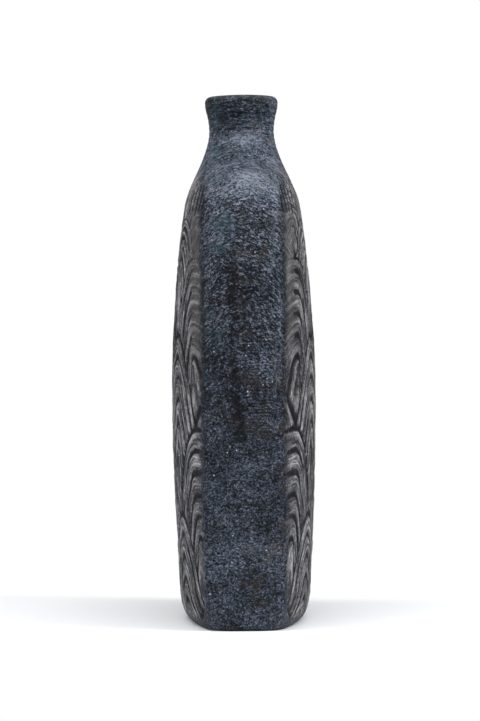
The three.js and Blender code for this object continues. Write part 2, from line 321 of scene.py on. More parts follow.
def grid_faces(first, rows, columns, closed=False):
    """Quads of a grid whose vertices start at first. Each row holds columns vertices."""
    faces = []
    for i in range(rows - 1):
        for j in range(columns if closed else columns - 1):
            k = (j + 1) % columns
            low = first + i * columns
            faces.append((low + j, low + k, low + columns + k, low + columns + j))
    return faces


def rim_faces(fine, coarse):
    """Joins a fine line of vertices to a coarse one. Both lists start and end together."""
    step = (len(fine) - 1) // (len(coarse) - 1)
    faces = []
    for j in range(len(coarse) - 1):
        faces.append((*fine[j * step:(j + 1) * step + 1], coarse[j + 1], coarse[j]))
    return faces


def shell(name, outer, normals, inner, closed=False):
    """A wall of clay between an outer grid and a coarser inner one."""
    rows, columns = outer.shape[:2]
    inner_rows, inner_columns = inner.shape[:2]
    first = rows * columns
    faces = grid_faces(0, rows, columns, closed)
    faces += [face[::-1] for face in grid_faces(first, inner_rows, inner_columns, closed)]
    outside = np.arange(first).reshape(rows, columns)
    inside = first + np.arange(inner_rows * inner_columns).reshape(inner_rows, inner_columns)
    if closed:
        outside = np.column_stack([outside, outside[:, :1]])
        inside = np.column_stack([inside, inside[:, :1]])
    edges = [(outside[0], inside[0]), (outside[-1], inside[-1])]
    if not closed:
        edges += [(outside[:, 0], inside[:, 0]), (outside[:, -1], inside[:, -1])]
    for fine, coarse in edges:
        faces += rim_faces(fine.tolist(), coarse.tolist())
    vertices = np.vstack([outer.reshape(-1, 3), inner.reshape(-1, 3)])
    outward = np.vstack([normals.reshape(-1, 3), np.zeros((inner_rows * inner_columns, 3))])
    return new_piece(name, vertices, faces, outward)


# ---------- Node trees written as plain arithmetic ----------

class Field:
    """A value that varies over a piece. Arithmetic on it adds Math nodes to its tree."""

    def __init__(self, tree, socket):
        self.tree = tree
        self.socket = socket

    def __add__(self, other):
        return calculate("ADD", self, other)

    def __sub__(self, other):
        return calculate("SUBTRACT", self, other)

    def __rsub__(self, other):
        return calculate("SUBTRACT", other, self, tree=self.tree)

    def __mul__(self, other):
        return calculate("MULTIPLY", self, other)

    def __truediv__(self, other):
        return calculate("DIVIDE", self, other)

    def __pow__(self, other):
        return calculate("POWER", self, other)

    __radd__ = __add__
    __rmul__ = __mul__


def plug(tree, value, socket):
    if isinstance(value, Field):
        tree.links.new(value.socket, socket)
    elif isinstance(value, bpy.types.NodeSocket):
        tree.links.new(value, socket)
    else:
        socket.default_value = value


def add_node(tree, kind, inputs=None, **settings):
    node = tree.nodes.new(kind)
    for name, value in settings.items():
        setattr(node, name, value)
    for key, value in (inputs or {}).items():
        plug(tree, value, node.inputs[key])
    return node


def calculate(operation, *values, tree=None, clamp=False):
    tree = tree or values[0].tree
    node = add_node(tree, "ShaderNodeMath", operation=operation, use_clamp=clamp)
    for socket, value in zip(node.inputs, values):
        plug(tree, value, socket)
    return Field(tree, node.outputs[0])


def absolute(value):
    return calculate("ABSOLUTE", value)


def larger(a, b):
    return calculate("MAXIMUM", a, b)


def smaller(a, b):
    return calculate("MINIMUM", a, b)


def clamped(value):
    return calculate("ADD", value, 0.0, clamp=True)


def hump(distance, width):
    """1 at no distance, falling off smoothly by about width."""
    share = distance / width
    return calculate("EXPONENT", share * share * -1.0)


def step_between(value, low, high, start=0.0, end=1.0):
    """Turns smoothly from start to end as value goes from low to high."""
    inputs = {"Value": value, "From Min": low, "From Max": high, "To Min": start, "To Max": end}
    node = add_node(value.tree, "ShaderNodeMapRange", inputs, interpolation_type="SMOOTHSTEP")
    return Field(value.tree, node.outputs["Result"])


def within(value, low, low_full, high_full, high, outside=0.0):
    """Rises smoothly from 0 at low to 1 at low_full, and falls from high_full to outside at high."""
    return step_between(value, low, low_full) * step_between(value, high_full, high, 1.0, outside)


def nearness(value, pitch):
    """How far a value is from the nearest line of a set, as a share of the set's pitch."""
    row = value / pitch
    return row - calculate("ROUND", row)


def combined(x, y, z, tree):
    node = add_node(tree, "ShaderNodeCombineXYZ", {"X": x, "Y": y, "Z": z})
    return Field(tree, node.outputs[0])


def parts_of(vector):
    node = add_node(vector.tree, "ShaderNodeSeparateXYZ", {0: vector})
    return [Field(vector.tree, socket) for socket in node.outputs]


def scaled(vector, factor):
    """A vector times a number, or times a tuple of three numbers."""
    tree = vector.tree
    if isinstance(factor, tuple):
        node = add_node(tree, "ShaderNodeVectorMath", {0: vector, 1: factor}, operation="MULTIPLY")
    else:
        node = add_node(tree, "ShaderNodeVectorMath", {0: vector, "Scale": factor}, operation="SCALE")
    return Field(tree, node.outputs["Vector"])


def noise(vector, size, detail=2.0, roughness=0.5, distortion=0.0, seed=0.0, colour=False):
    """Smooth noise from 0 to 1, with features of about this size."""
    inputs = {"Vector": vector, "W": seed, "Scale": 1 / size, "Detail": detail}
    inputs |= {"Roughness": roughness, "Distortion": distortion}
    node = add_node(vector.tree, "ShaderNodeTexNoise", inputs, noise_dimensions="4D")
    return Field(vector.tree, node.outputs["Color" if colour else "Fac"])


# ---------- Geometry trees: what the hands and the tools do to the clay ----------

def millimetres(*values):
    return tuple(value * MM for value in values)


# Two numbers are where something starts to change and where it ends.
# Four are where it starts, is full, starts to fall and is gone.
SHIFT_ACROSS = millimetres(5, 36)
FLAT_ACROSS = millimetres(75, 35)
RAGGED_CUTS = millimetres(-0.6, 3.6)
LIGHT_CUTS = millimetres(4, 9)
UPPER_EDGE = millimetres(135, 165)
NICKS_UP = millimetres(226, 233, 243, 250)
NICKS_ACROSS = millimetres(44, 54, 100, 108)
CREASE_UP = millimetres(206, 165)
CHATTER_UP = millimetres(100, 112, 160, 176)
CHATTER_ACROSS = millimetres(-2, 3, 12, 19)
STROKES_UP = millimetres(172, 190, 232, 250)


def geometry_tree(name, sizes, materials=("Clay",), objects=()):
    """An empty geometry tree with a Geometry input, these sizes, and inputs for materials and objects."""
    tree = bpy.data.node_groups.new(name, "GeometryNodeTree")
    tree.interface.new_socket("Geometry", in_out="OUTPUT", socket_type="NodeSocketGeometry")
    tree.interface.new_socket("Geometry", in_out="INPUT", socket_type="NodeSocketGeometry")
    for size, value in sizes.items():
        tree.interface.new_socket(size, in_out="INPUT", socket_type="NodeSocketFloat").default_value = value
    for entry in materials:
        tree.interface.new_socket(entry, in_out="INPUT", socket_type="NodeSocketMaterial")
    for entry in objects:
        tree.interface.new_socket(entry, in_out="INPUT", socket_type="NodeSocketObject")
    start = tree.nodes.new("NodeGroupInput")
    given = {socket.name: Field(tree, socket) for socket in start.outputs if socket.name}
    return tree, given


def end_tree(tree, geometry, clay):
    """Realize Instances and Set Material, then the output."""
    real = add_node(tree, "GeometryNodeRealizeInstances", {"Geometry": geometry})
    painted = add_node(tree, "GeometryNodeSetMaterial", {"Geometry": real.outputs[0], "Material": clay})
    add_node(tree, "NodeGroupOutput", {"Geometry": painted.outputs[0]})
    return tree


def named(tree, name, kind="FLOAT"):
    node = add_node(tree, "GeometryNodeInputNamedAttribute", {"Name": name}, data_type=kind)
    return Field(tree, node.outputs["Attribute"])


def stored(geometry, name, value, kind="FLOAT"):
    node = add_node(
        geometry.tree, "GeometryNodeStoreNamedAttribute",
        {"Geometry": geometry, "Name": name, "Value": value}, data_type=kind,
    )
    return Field(geometry.tree, node.outputs["Geometry"])


def pushed_out(geometry, outward, amount):
    """Moves each point along its outward direction."""
    inputs = {"Geometry": geometry, "Offset": scaled(outward, amount)}
    node = add_node(geometry.tree, "GeometryNodeSetPosition", inputs)
    return Field(geometry.tree, node.outputs["Geometry"])


def place_in(tree):
    """Each point's position and its outward direction."""
    position = Field(tree, tree.nodes.new("GeometryNodeInputPosition").outputs[0])
    return position, named(tree, "outward", "FLOAT_VECTOR")


def hand_wobble(position, z):
    """The slow unevenness of a hand-built pot. It dies out at the foot and is less on the thrown neck."""
    slow = (noise(position, SLOW_WOBBLE[0], seed=3.0) - 0.5) * SLOW_WOBBLE[1]
    quick = (noise(position, QUICK_WOBBLE[0], seed=8.0) - 0.5) * QUICK_WOBBLE[1]
    strength = step_between(z, 0.0, 6 * MM) * step_between(z, SHOULDER_LINE, COLLAR_FOOT, 1.0, 0.25)
    return (slow + quick) * strength


def fan_carving():
    """Rows of nested fans cut with a gouge, the lower fans in front of the upper ones.

    A fan's grooves shrink towards one point below its apex, and its neighbours sit half a row lower.
    """
    tree, given = geometry_tree("fan_carving", {
        "Column Pitch": 46 * MM,
        "Front Shift": 7 * MM,
        "Back Shift": 1 * MM,
        "Front Lean": 0.06,
        "Back Lean": 0.13,
        "Lean Pivot": 100 * MM,
        "Row Pitch": 99.5 * MM,
        "Row Stagger": 0.52,
        "First Apex": 11 * MM,
        "Arch Rise": 50 * MM,
        "Focus Drop": 65 * MM,
        "Most Grooves": 5.0,
        "Groove Spacing": 12 * MM,
        "Groove Width": 1.7 * MM,
        "Groove Depth": 1.7 * MM,
        "Wander": 5 * MM,
        "Lowest": 2 * MM,
        "Highest": 233 * MM,
        "Squeeze Start": 200 * MM,
        "Squeeze": 1.2,
        "Edge Stretch": 0.6,
        "Nick Pitch": 1.9 * MM,
        "Nick Depth": 1.6 * MM,
        "Nick Height": 238 * MM,
        "Nick Slant": 0.2,
        "Fibre Depth": 0.9 * MM,
        "Seed": 1.0,
    })
    column_pitch = given["Column Pitch"]
    row_pitch = given["Row Pitch"]
    focus = given["Focus Drop"]
    position, outward = place_in(tree)
    x, y, z = parts_of(position)
    back = calculate("GREATER_THAN", y, 0.0)
    wander = parts_of(noise(position, 26 * MM, detail=3.0, seed=given["Seed"] - back, colour=True))
    shift = given["Front Shift"] + (given["Back Shift"] - given["Front Shift"]) * back
    lean = given["Front Lean"] + (given["Back Lean"] - given["Front Lean"]) * back
    # The shift dies out towards the middle of the wall, where its two halves meet.
    shift = (shift - lean * (z - given["Lean Pivot"])) * step_between(absolute(x), *SHIFT_ACROSS)
    drawn_x = absolute(x) - shift + (wander[0] - 0.5) * given["Wander"]
    # The last column is stretched to the wall's edge, and the top row is squeezed under the shoulder.
    drawn_x = drawn_x - larger(drawn_x - column_pitch * 2.0, 0.0) * given["Edge Stretch"]
    drawn_z = z + (wander[1] - 0.5) * given["Wander"]
    drawn_z = drawn_z + larger(z - given["Squeeze Start"], 0.0) * given["Squeeze"]
    nearest = calculate("ROUND", drawn_x / column_pitch)

    fans = []
    for offset in (-1.0, 0.0, 1.0):
        column = nearest + offset
        stagger = calculate("FLOORED_MODULO", column, 2.0) * row_pitch * given["Row Stagger"]
        first = given["First Apex"] + stagger
        reach = absolute(drawn_x - column * column_pitch)
        share = reach / column_pitch
        drop = given["Arch Rise"] * share * share
        apex = first + row_pitch * calculate("CEIL", (drawn_z + drop - first) / row_pitch)
        fans.append((reach, drop, apex))

    # The fan that shows at a point is the one with the lowest apex.
    reach, _, apex = fans[0]
    for other_reach, _, other_apex in fans[1:]:
        wins = calculate("LESS_THAN", other_apex, apex)
        reach = reach + (other_reach - reach) * wins
        apex = apex + (other_apex - apex) * wins

    # Size of the groove through this point, as a share of the whole fan, and how fast it changes.
    steepness = 4.0 * focus * given["Arch Rise"] / (column_pitch * column_pitch)
    above = drawn_z - apex + focus
    span = calculate("SQRT", above * above + steepness * reach * reach + 1e-10)
    share = (above + span) / (2.0 * focus)
    grow_up = (1.0 + above / span) / (2.0 * focus)
    grow_out = steepness * reach / (span * focus * 2.0)
    growth = calculate("SQRT", grow_up * grow_up + grow_out * grow_out)
    count = (1.0 - share) * focus / given["Groove Spacing"]
    groove_number = smaller(calculate("ROUND", count), given["Most Grooves"])
    distance = absolute(count - groove_number) * given["Groove Spacing"] / (focus * growth)
    # The gouge rolls wider and shallower over the flat middle of the wall.
    flat_part = step_between(absolute(x), *FLAT_ACROSS)
    local_width = smaller(given["Groove Width"], given["Groove Spacing"] * 0.26 / (focus * growth))
    groove = hump(distance, (1.0 + 0.25 * flat_part) * local_width)

    # The outer groove of a fan in front, seen from just above it.
    for other_reach, drop, other_apex in fans:
        front_apex = other_apex - row_pitch
        slope = 2.0 * given["Arch Rise"] * other_reach / (column_pitch * column_pitch)
        gap = (drawn_z + drop - front_apex) / calculate("SQRT", 1.0 + slope * slope)
        shows = calculate("LESS_THAN", front_apex, apex - 1e-4)
        groove = larger(groove, hump(gap, given["Groove Width"]) * shows)

    # The cuts start raggedly at the wall's edges, vary in depth, and are light along the upper edges.
    facing = step_between(absolute(parts_of(outward)[1]), 0.3, 0.6)
    ragged = (noise(position, 5 * MM, detail=3.0, seed=4.0) - 0.5) * (7 * MM)
    from_edge = absolute(y) + ragged - STRIP_HALF
    cut = within(z, given["Lowest"], given["Lowest"] + 6 * MM, CROWN, CROWN + 10 * MM)
    cut = cut * facing * step_between(from_edge, *RAGGED_CUTS)
    pressure = 0.35 + 1.3 * noise(position, 7 * MM, seed=5.0)
    light_touch = step_between(z, *UPPER_EDGE) * step_between(from_edge, *LIGHT_CUTS, 1.0, 0.0)
    pressure = pressure * (1.0 - 0.88 * light_touch)
    fading = step_between(z, given["Highest"] - 9 * MM, given["Highest"], 1.0, 0.0)
    groove = groove * cut * pressure * fading * (1.0 - 0.25 * flat_part)

    # Short parallel nicks where each wall turns over into the shoulder.
    slant = absolute(y) + (z - given["Nick Height"]) * given["Nick Slant"] + (wander[2] - 0.5) * (3 * MM)
    nick = hump(nearness(slant, given["Nick Pitch"]), 0.27) * (0.75 + 0.5 * wander[1])
    nick = nick * within(z, *NICKS_UP) * within(absolute(x), *NICKS_ACROSS)
    nick = nick * step_between(absolute(y), STRIP_HALF - 3 * MM, STRIP_HALF - 0.5 * MM)
    groove = larger(groove, nick * (given["Nick Depth"] / given["Groove Depth"]))
    # Fibres of torn clay run along the grooves.
    along_groove = combined(count, z * 20.0, apex * 50.0 + x * 12.0, tree)
    fibre = (noise(along_groove, 0.16, detail=3.0, seed=2.0) - 0.5) * cut
    depth = hand_wobble(position, z) - groove * given["Groove Depth"] + fibre * given["Fibre Depth"]
    geometry = stored(given["Geometry"], "groove", groove)
    geometry = stored(geometry, "flow", combined(count, z, apex + x * 0.07, tree), "FLOAT_VECTOR")
    geometry = stored(geometry, "carved", cut)
    return end_tree(tree, pushed_out(geometry, outward, depth), given["Clay"])


def side_scraping():
    """A narrow side pared with a blade: a wandering crease, chatter beside it, sweeping strokes above."""
    tree, given = geometry_tree("side_scraping", {
        "Crease Width": 2.0 * MM,
        "Crease Depth": 0.7 * MM,
        "Chatter Pitch": 1.7 * MM,
        "Chatter Depth": 0.16 * MM,
        "Stroke Pitch": 1.9 * MM,
        "Stroke Depth": 0.14 * MM,
        "Stroke Pivot": 158 * MM,
        "Pit Depth": 0.28 * MM,
        "Ragged Edge": 9 * MM,
        "Seed": 4.0,
    }, objects=("Crease",))
    seed = given["Seed"]
    position, outward = place_in(tree)
    x, y, z = parts_of(position)
    side = calculate("SIGN", x)
    across = y * side
    ragged = parts_of(noise(position, 6 * MM, detail=3.0, seed=seed, colour=True))
    ragged_y = y + (ragged[0] - 0.5) * given["Ragged Edge"]
    ragged_z = z + (ragged[1] - 0.5) * given["Ragged Edge"]
    flat = combined(side * HALF_WIDTH, ragged_y, ragged_z, tree)
    line = add_node(tree, "GeometryNodeObjectInfo", {"Object": given["Crease"]})
    edges = add_node(tree, "GeometryNodeCurveToMesh", {"Curve": line.outputs["Geometry"]})
    near = add_node(
        tree, "GeometryNodeProximity",
        {"Geometry": edges.outputs["Mesh"], "Sample Position": flat}, target_element="EDGES",
    )
    strength = step_between(z, *CREASE_UP, 0.45, 1.0) * step_between(ragged[2], 0.3, 0.55)
    crease = hump(Field(tree, near.outputs["Distance"]), given["Crease Width"]) * strength

    wobble = noise(position, 8 * MM, seed=seed) * 7.0
    chatter = calculate("SINE", z * FULL_TURN / given["Chatter Pitch"] + wobble)
    chatter_place = within(across, *CHATTER_ACROSS) * within(z, *CHATTER_UP)
    broken = step_between(noise(position, 5 * MM, seed=seed + 5.0), 0.35, 0.6)
    chatter = chatter * chatter_place * broken

    from_pivot = combined(across + 30 * MM, z - given["Stroke Pivot"], 0.0, tree)
    length = add_node(tree, "ShaderNodeVectorMath", {0: from_pivot}, operation="LENGTH")
    turns = Field(tree, length.outputs["Value"]) / given["Stroke Pitch"] * FULL_TURN
    stroke = calculate("SINE", turns + noise(position, 14 * MM, seed=seed + 1.0) * 9.0)
    stroke_place = within(z, *STROKES_UP, outside=0.2)
    patches = step_between(noise(position, 8 * MM, detail=3.0, seed=seed + 2.0), 0.45, 0.65)
    stroke = stroke * (0.15 + 0.85 * stroke_place) * patches

    pits = step_between(noise(position, 1.5 * MM, detail=3.0, seed=seed + 3.0), 0.5, 0.68)
    inside = step_between(STRIP_HALF - absolute(y), 0.0, 4 * MM) * step_between(z, CROWN, CROWN - 9 * MM)
    inside = inside * step_between(z, BASE_TOP, BASE_TOP + 4 * MM)
    pared = chatter * given["Chatter Depth"] + stroke * given["Stroke Depth"]
    pared = pared - pits * given["Pit Depth"]
    depth = hand_wobble(position, z) + (pared - crease * given["Crease Depth"]) * inside
    geometry = stored(given["Geometry"], "crease", crease * inside)
    geometry = stored(geometry, "chatter", chatter * inside)
    geometry = stored(geometry, "stroke", stroke * inside)
    return end_tree(tree, pushed_out(geometry, outward, depth), given["Clay"])


def turning_marks():
    """A thrown or smoothed surface: shallow rings from the fingers and the slow wobble of the hand."""
    tree, given = geometry_tree("turning_marks", {
        "Ring Pitch": 3.1 * MM,
        "Ring Depth": 0.07 * MM,
        "Seed": 2.0,
    })
    position, outward = place_in(tree)
    z = parts_of(position)[2]
    drift = noise(position, 30 * MM, seed=given["Seed"]) * 5.0
    rings = calculate("SINE", z * FULL_TURN / given["Ring Pitch"] + drift)
    rings = rings * given["Ring Depth"] * step_between(z, COLLAR_FOOT, COLLAR_FOOT + 5 * MM)
    depth = hand_wobble(position, z) + rings
    return end_tree(tree, pushed_out(given["Geometry"], outward, depth), given["Clay"])


def rolled_clay():
    """A hand-rolled coil along a path, thinner and thicker where the fingers pressed it."""
    tree, given = geometry_tree("rolled_clay", {
        "Radius": 3.2 * MM,
        "Press": 0.5,
        "Step": 2.5 * MM,
        "Seed": 6.0,
    })
    path = add_node(
        tree, "GeometryNodeResampleCurve",
        {"Curve": given["Geometry"], "Length": given["Step"]}, mode="LENGTH",
    )
    position = Field(tree, tree.nodes.new("GeometryNodeInputPosition").outputs[0])
    pressed = 1.0 - given["Press"] * noise(position, 12 * MM, seed=given["Seed"])
    thickness = {"Curve": path.outputs[0], "Radius": given["Radius"] * pressed}
    radius = add_node(tree, "GeometryNodeSetCurveRadius", thickness)
    round_section = {"Resolution": 14, "Radius": 1.0}
    ring = add_node(tree, "GeometryNodeCurvePrimitiveCircle", round_section, mode="RADIUS")
    tube = add_node(
        tree, "GeometryNodeCurveToMesh",
        {"Curve": radius.outputs[0], "Profile Curve": ring.outputs[0], "Fill Caps": True},
    )
    if "Scale" in tube.inputs:
        scale = add_node(tree, "GeometryNodeInputRadius")
        plug(tree, scale.outputs[0], tube.inputs["Scale"])
    smooth = add_node(tree, "GeometryNodeSetShadeSmooth", {"Geometry": tube.outputs["Mesh"]})
    return end_tree(tree, smooth.outputs[0], given["Clay"])


def shaped_by(piece, tree, **inputs):
    """Runs a piece through a geometry tree and keeps the result as a plain mesh on a new object."""
    modifier = piece.modifiers.new(tree.name, "NODES")
    modifier.node_group = tree
    for item in tree.interface.items_tree:
        key = item.name.replace(" ", "_").lower()
        if item.item_type == "SOCKET" and item.in_out == "INPUT" and key in inputs:
            modifier[item.identifier] = inputs[key]
    bpy.context.view_layer.update()
    graph = bpy.context.evaluated_depsgraph_get()
    evaluated = piece.evaluated_get(graph)
    mesh = bpy.data.meshes.new_from_object(evaluated, preserve_all_data_layers=True, depsgraph=graph)
    name = piece.name
    bpy.data.objects.remove(piece)
    mesh.name = name
    shaped = bpy.data.objects.new(name, mesh)
    bpy.context.scene.collection.objects.link(shaped)
    return shaped


def drawn_path(name, points, closed=False):
    """A curve object through the points."""
    curve = bpy.data.curves.new(name, "CURVE")
    curve.dimensions = "3D"
    spline = curve.splines.new("POLY")
    spline.points.add(len(points) - 1)
    for point, place in zip(spline.points, points):
        point.co = (*place, 1.0)
    spline.use_cyclic_u = closed
    path = bpy.data.objects.new(name, curve)
    bpy.context.scene.collection.objects.link(path)
    return path


# ---------- Glaze and clay finishes ----------

def linear(red, green, blue):
    """A screen colour as the linear colour that a shader takes."""
    shares = [value / 255 for value in (red, green, blue)]
    return (*[s / 12.92 if s <= 0.04045 else ((s + 0.055) / 1.055) ** 2.4 for s in shares], 1.0)


PIT_BLACK = linear(7, 9, 13)
SLIP_BLUE = linear(37, 43, 54)
SLIP_GREY = linear(67, 74, 87)
SLIP_PALE = linear(116, 122, 134)
SMOKE_TEAL = linear(38, 62, 68)
IRON_BROWN = linear(66, 58, 46)
GRIT_AND_GLINT_WHITE = linear(196, 202, 208)
GROOVE_BLACK = linear(18, 18, 21)
CARVED_DARK = linear(30, 29, 30)
CARVED_BROWN = linear(78, 76, 74)
CARVED_GREY = linear(91, 90, 93)
CARVED_ASH = linear(135, 134, 137)
CARVED_PALE = linear(178, 178, 181)
CLAY_DARK = linear(44, 40, 37)
RAW_CLAY = linear(70, 66, 62)
CLAY_PALE = linear(98, 92, 86)
PAPER_SHADE = (0.83, 0.84, 0.86, 1.0)
PAPER_WHITE = (0.85, 0.86, 0.87, 1.0)

# Heights between which the finish of the pot changes.
BELLY_LOW = 60 * MM
BELLY_HIGH = 110 * MM
UNDER_SHOULDER = 190 * MM


class Finish:
    """A stoneware surface that is built up layer by layer on the piece's own coordinates."""

    def __init__(self, name):
        self.material = bpy.data.materials.new(name)
        self.material.use_nodes = True
        self.tree = self.material.node_tree
        self.shader = self.tree.nodes["Principled BSDF"]
        coordinates = self.tree.nodes.new("ShaderNodeTexCoord")
        self.place = Field(self.tree, coordinates.outputs["Object"])
        self.x, self.y, self.z = parts_of(self.place)
        self.colour = None

    def attribute(self, name, output="Fac"):
        node = add_node(self.tree, "ShaderNodeAttribute", attribute_name=name)
        return Field(self.tree, node.outputs[output])

    def ramp(self, value, *stops):
        node = self.tree.nodes.new("ShaderNodeValToRGB")
        plug(self.tree, value, node.inputs[0])
        elements = node.color_ramp.elements
        while len(elements) < len(stops):
            elements.new(0.5)
        for element, (at, colour) in zip(elements, stops):
            element.position = at
            element.color = colour
        self.colour = Field(self.tree, node.outputs["Color"])

    def layer(self, share, colour, blend="MIX"):
        """Lays a colour over the colour so far, by a share that varies over the surface."""
        node = add_node(self.tree, "ShaderNodeMix", data_type="RGBA", blend_type=blend, clamp_factor=True)
        plug(self.tree, share, node.inputs[0])
        plug(self.tree, self.colour, node.inputs[6])
        plug(self.tree, colour, node.inputs[7])
        self.colour = Field(self.tree, node.outputs[2])

    def specks(self, size, share, seed):
        """Small grains of grit, in clusters, on about this share of the cells. On the glossy slip their
        white also paints glints.
        """
        bend = scaled(noise(self.place, 1.5 * MM, seed=seed, colour=True), 0.8 * MM)
        offset = add_node(self.tree, "ShaderNodeVectorMath", {0: bend, 1: self.place}, operation="ADD")
        near = add_node(
            self.tree, "ShaderNodeTexVoronoi",
            {"Vector": offset.outputs[0], "W": seed, "Scale": 1 / size}, voronoi_dimensions="4D",
        )
        chance, radius, _ = parts_of(Field(self.tree, near.outputs["Color"]))
        crowd = step_between(noise(self.place, 16 * MM, seed=seed + 1.0), 0.4, 0.65)
        chosen = calculate("LESS_THAN", chance, crowd * share)
        spread = Field(self.tree, near.outputs["Distance"])
        return step_between(spread, 0.14 + 0.2 * radius, 0.06 + 0.1 * radius) * chosen

    def slip(self, shade=0.0, grain=1.0):
        """The blue-black slip that the whole skin shares: strokes, flecks and pits, clouds, smoke and iron,
        with painted light and shade.

        It returns the fine grain, the flecks and the sweeping strokes, for the relief of each finish.
        """
        arched = self.z + self.y * self.y * 26.0
        swept = combined(self.x * 0.45, self.y * 0.45, arched, self.tree)
        sweep = noise(swept, 1.05 * MM, detail=2.0, roughness=0.55, distortion=0.9, seed=6.0)
        sweep_place = step_between(self.z, BELLY_HIGH, 170 * MM, 0.15, 1.0)
        fine = noise(self.place, 0.95 * MM, detail=2.0, roughness=0.6, distortion=0.8, seed=1.0)
        stretched = scaled(self.place, (1.0, 0.6, 1.15))
        fleck = noise(stretched, 2.1 * MM, detail=3.0, roughness=0.6, distortion=1.8, seed=2.0)
        cloud = noise(self.place, 20 * MM, detail=4.0, seed=3.0)
        tone = 0.435 + (fine - 0.5) * (1.5 * grain) + (fleck - 0.5) * grain + (cloud - 0.5) * 0.5 + shade
        tone = tone + (sweep - 0.5) * sweep_place * (1.7 * grain)
        # Painted light and shade: the slip is painted paler towards the shoulder, where it turns up to the
        # light. It has painted highlights at the root of the neck and where each narrow side turns over at
        # the crown, a painted band of light along the +Y edge, and painted shade in the middle of each
        # narrow side. It is also a little paler towards the foot.
        shoulder = step_between(self.z, UNDER_SHOULDER, 236 * MM, 0.0, 0.085)
        foot = step_between(self.z, 80 * MM, 10 * MM, 0.0, 0.02)
        root = hump(self.z - COLLAR_FOOT - 9 * MM, 5 * MM) * hump(self.y, 9 * MM) * 0.3
        crown = hump(self.z - CROWN + 6 * MM, 7 * MM) * hump(self.y - 4 * MM, 9 * MM) * 0.25
        # A paler band of painted light along the +Y edge of each narrow side, growing towards the shoulder.
        painted_edge_light = hump(self.y - 18.5 * MM, 3.2 * MM)
        painted_edge_light = painted_edge_light * step_between(self.z, 130 * MM, UNDER_SHOULDER, 0.2, 1.0) * 0.12
        # Painted shade on the middle of each narrow side.
        middle = hump(self.z - 160 * MM, 50 * MM) * hump(self.y + 4 * MM, 14 * MM)
        tone = tone + shoulder + foot + root + crown + painted_edge_light - middle * 0.055
        self.ramp(tone, (0.33, PIT_BLACK), (0.45, SLIP_BLUE), (0.61, SLIP_GREY), (0.84, SLIP_PALE))
        worm = noise(scaled(self.place, (1.0, 0.7, 1.2)), 2.6 * MM, detail=1.0, distortion=2.0, seed=4.0)
        broken = step_between(noise(self.place, 2.5 * MM, seed=5.0), 0.46, 0.58)
        thread = step_between(absolute(worm - 0.5), 0.03, 0.004) * broken
        self.layer(thread * 0.35, SLIP_PALE)
        # Smoke-teal patches are the glaze's own colour; their larger share on the -Y side also paints shade
        # on that side.
        teal_place = step_between(noise(self.place, 11 * MM, detail=3.0, seed=7.0), 0.5, 0.66)
        teal_place = teal_place * step_between(self.z, 100 * MM, UNDER_SHOULDER, 0.1, 0.42)
        self.layer(teal_place * step_between(self.y, 10 * MM, -15 * MM, 0.3, 1.0), SMOKE_TEAL)
        brown_place = step_between(noise(self.place, 10 * MM, detail=3.0, seed=9.0), 0.5, 0.66)
        self.layer(brown_place * step_between(self.y, -15 * MM, 15 * MM, 0.08, 0.26), IRON_BROWN)
        edge = hump(STRIP_HALF + 0.2 * MM - absolute(self.y), 2.2 * MM)
        edge = edge * step_between(self.z, CROWN, CROWN - 12 * MM)
        self.layer(edge * step_between(self.z, BELLY_LOW, 160 * MM, 0.25, 0.55), PIT_BLACK)
        return fine, fleck, sweep * sweep_place

    def finish(self, roughness, height, bump=0.5, reach=0.6 * MM, specular=0.1):
        plug(self.tree, self.colour, self.shader.inputs["Base Color"])
        plug(self.tree, roughness, self.shader.inputs["Roughness"])
        self.shader.inputs["Specular IOR Level"].default_value = specular
        inputs = {"Strength": bump, "Distance": reach, "Height": height}
        relief = add_node(self.tree, "ShaderNodeBump", inputs)
        plug(self.tree, relief.outputs[0], self.shader.inputs["Normal"])
        return self.material


def burnished_stoneware():
    """The slip on the narrow sides, scraped with a blade and rubbed until it is half glossy."""
    finish = Finish("burnished_stoneware")
    stroke = finish.attribute("stroke")
    chatter = finish.attribute("chatter")
    fine, fleck, sweep = finish.slip(stroke * 0.05 + chatter * 0.14)
    crease = finish.attribute("crease")
    # Painted shade darkens the crease, broken up by the flecks.
    finish.layer(clamped(crease * 1.6) * (1.25 - fleck), PIT_BLACK)
    finish.layer(finish.specks(2.3 * MM, 0.2, 1.0) * 0.85, GRIT_AND_GLINT_WHITE)
    roughness = 0.38 + 0.4 * fleck
    height = fine * 0.7 + fleck * 0.5 + sweep * 0.8
    return finish.finish(roughness, height, bump=0.9, reach=0.9 * MM)


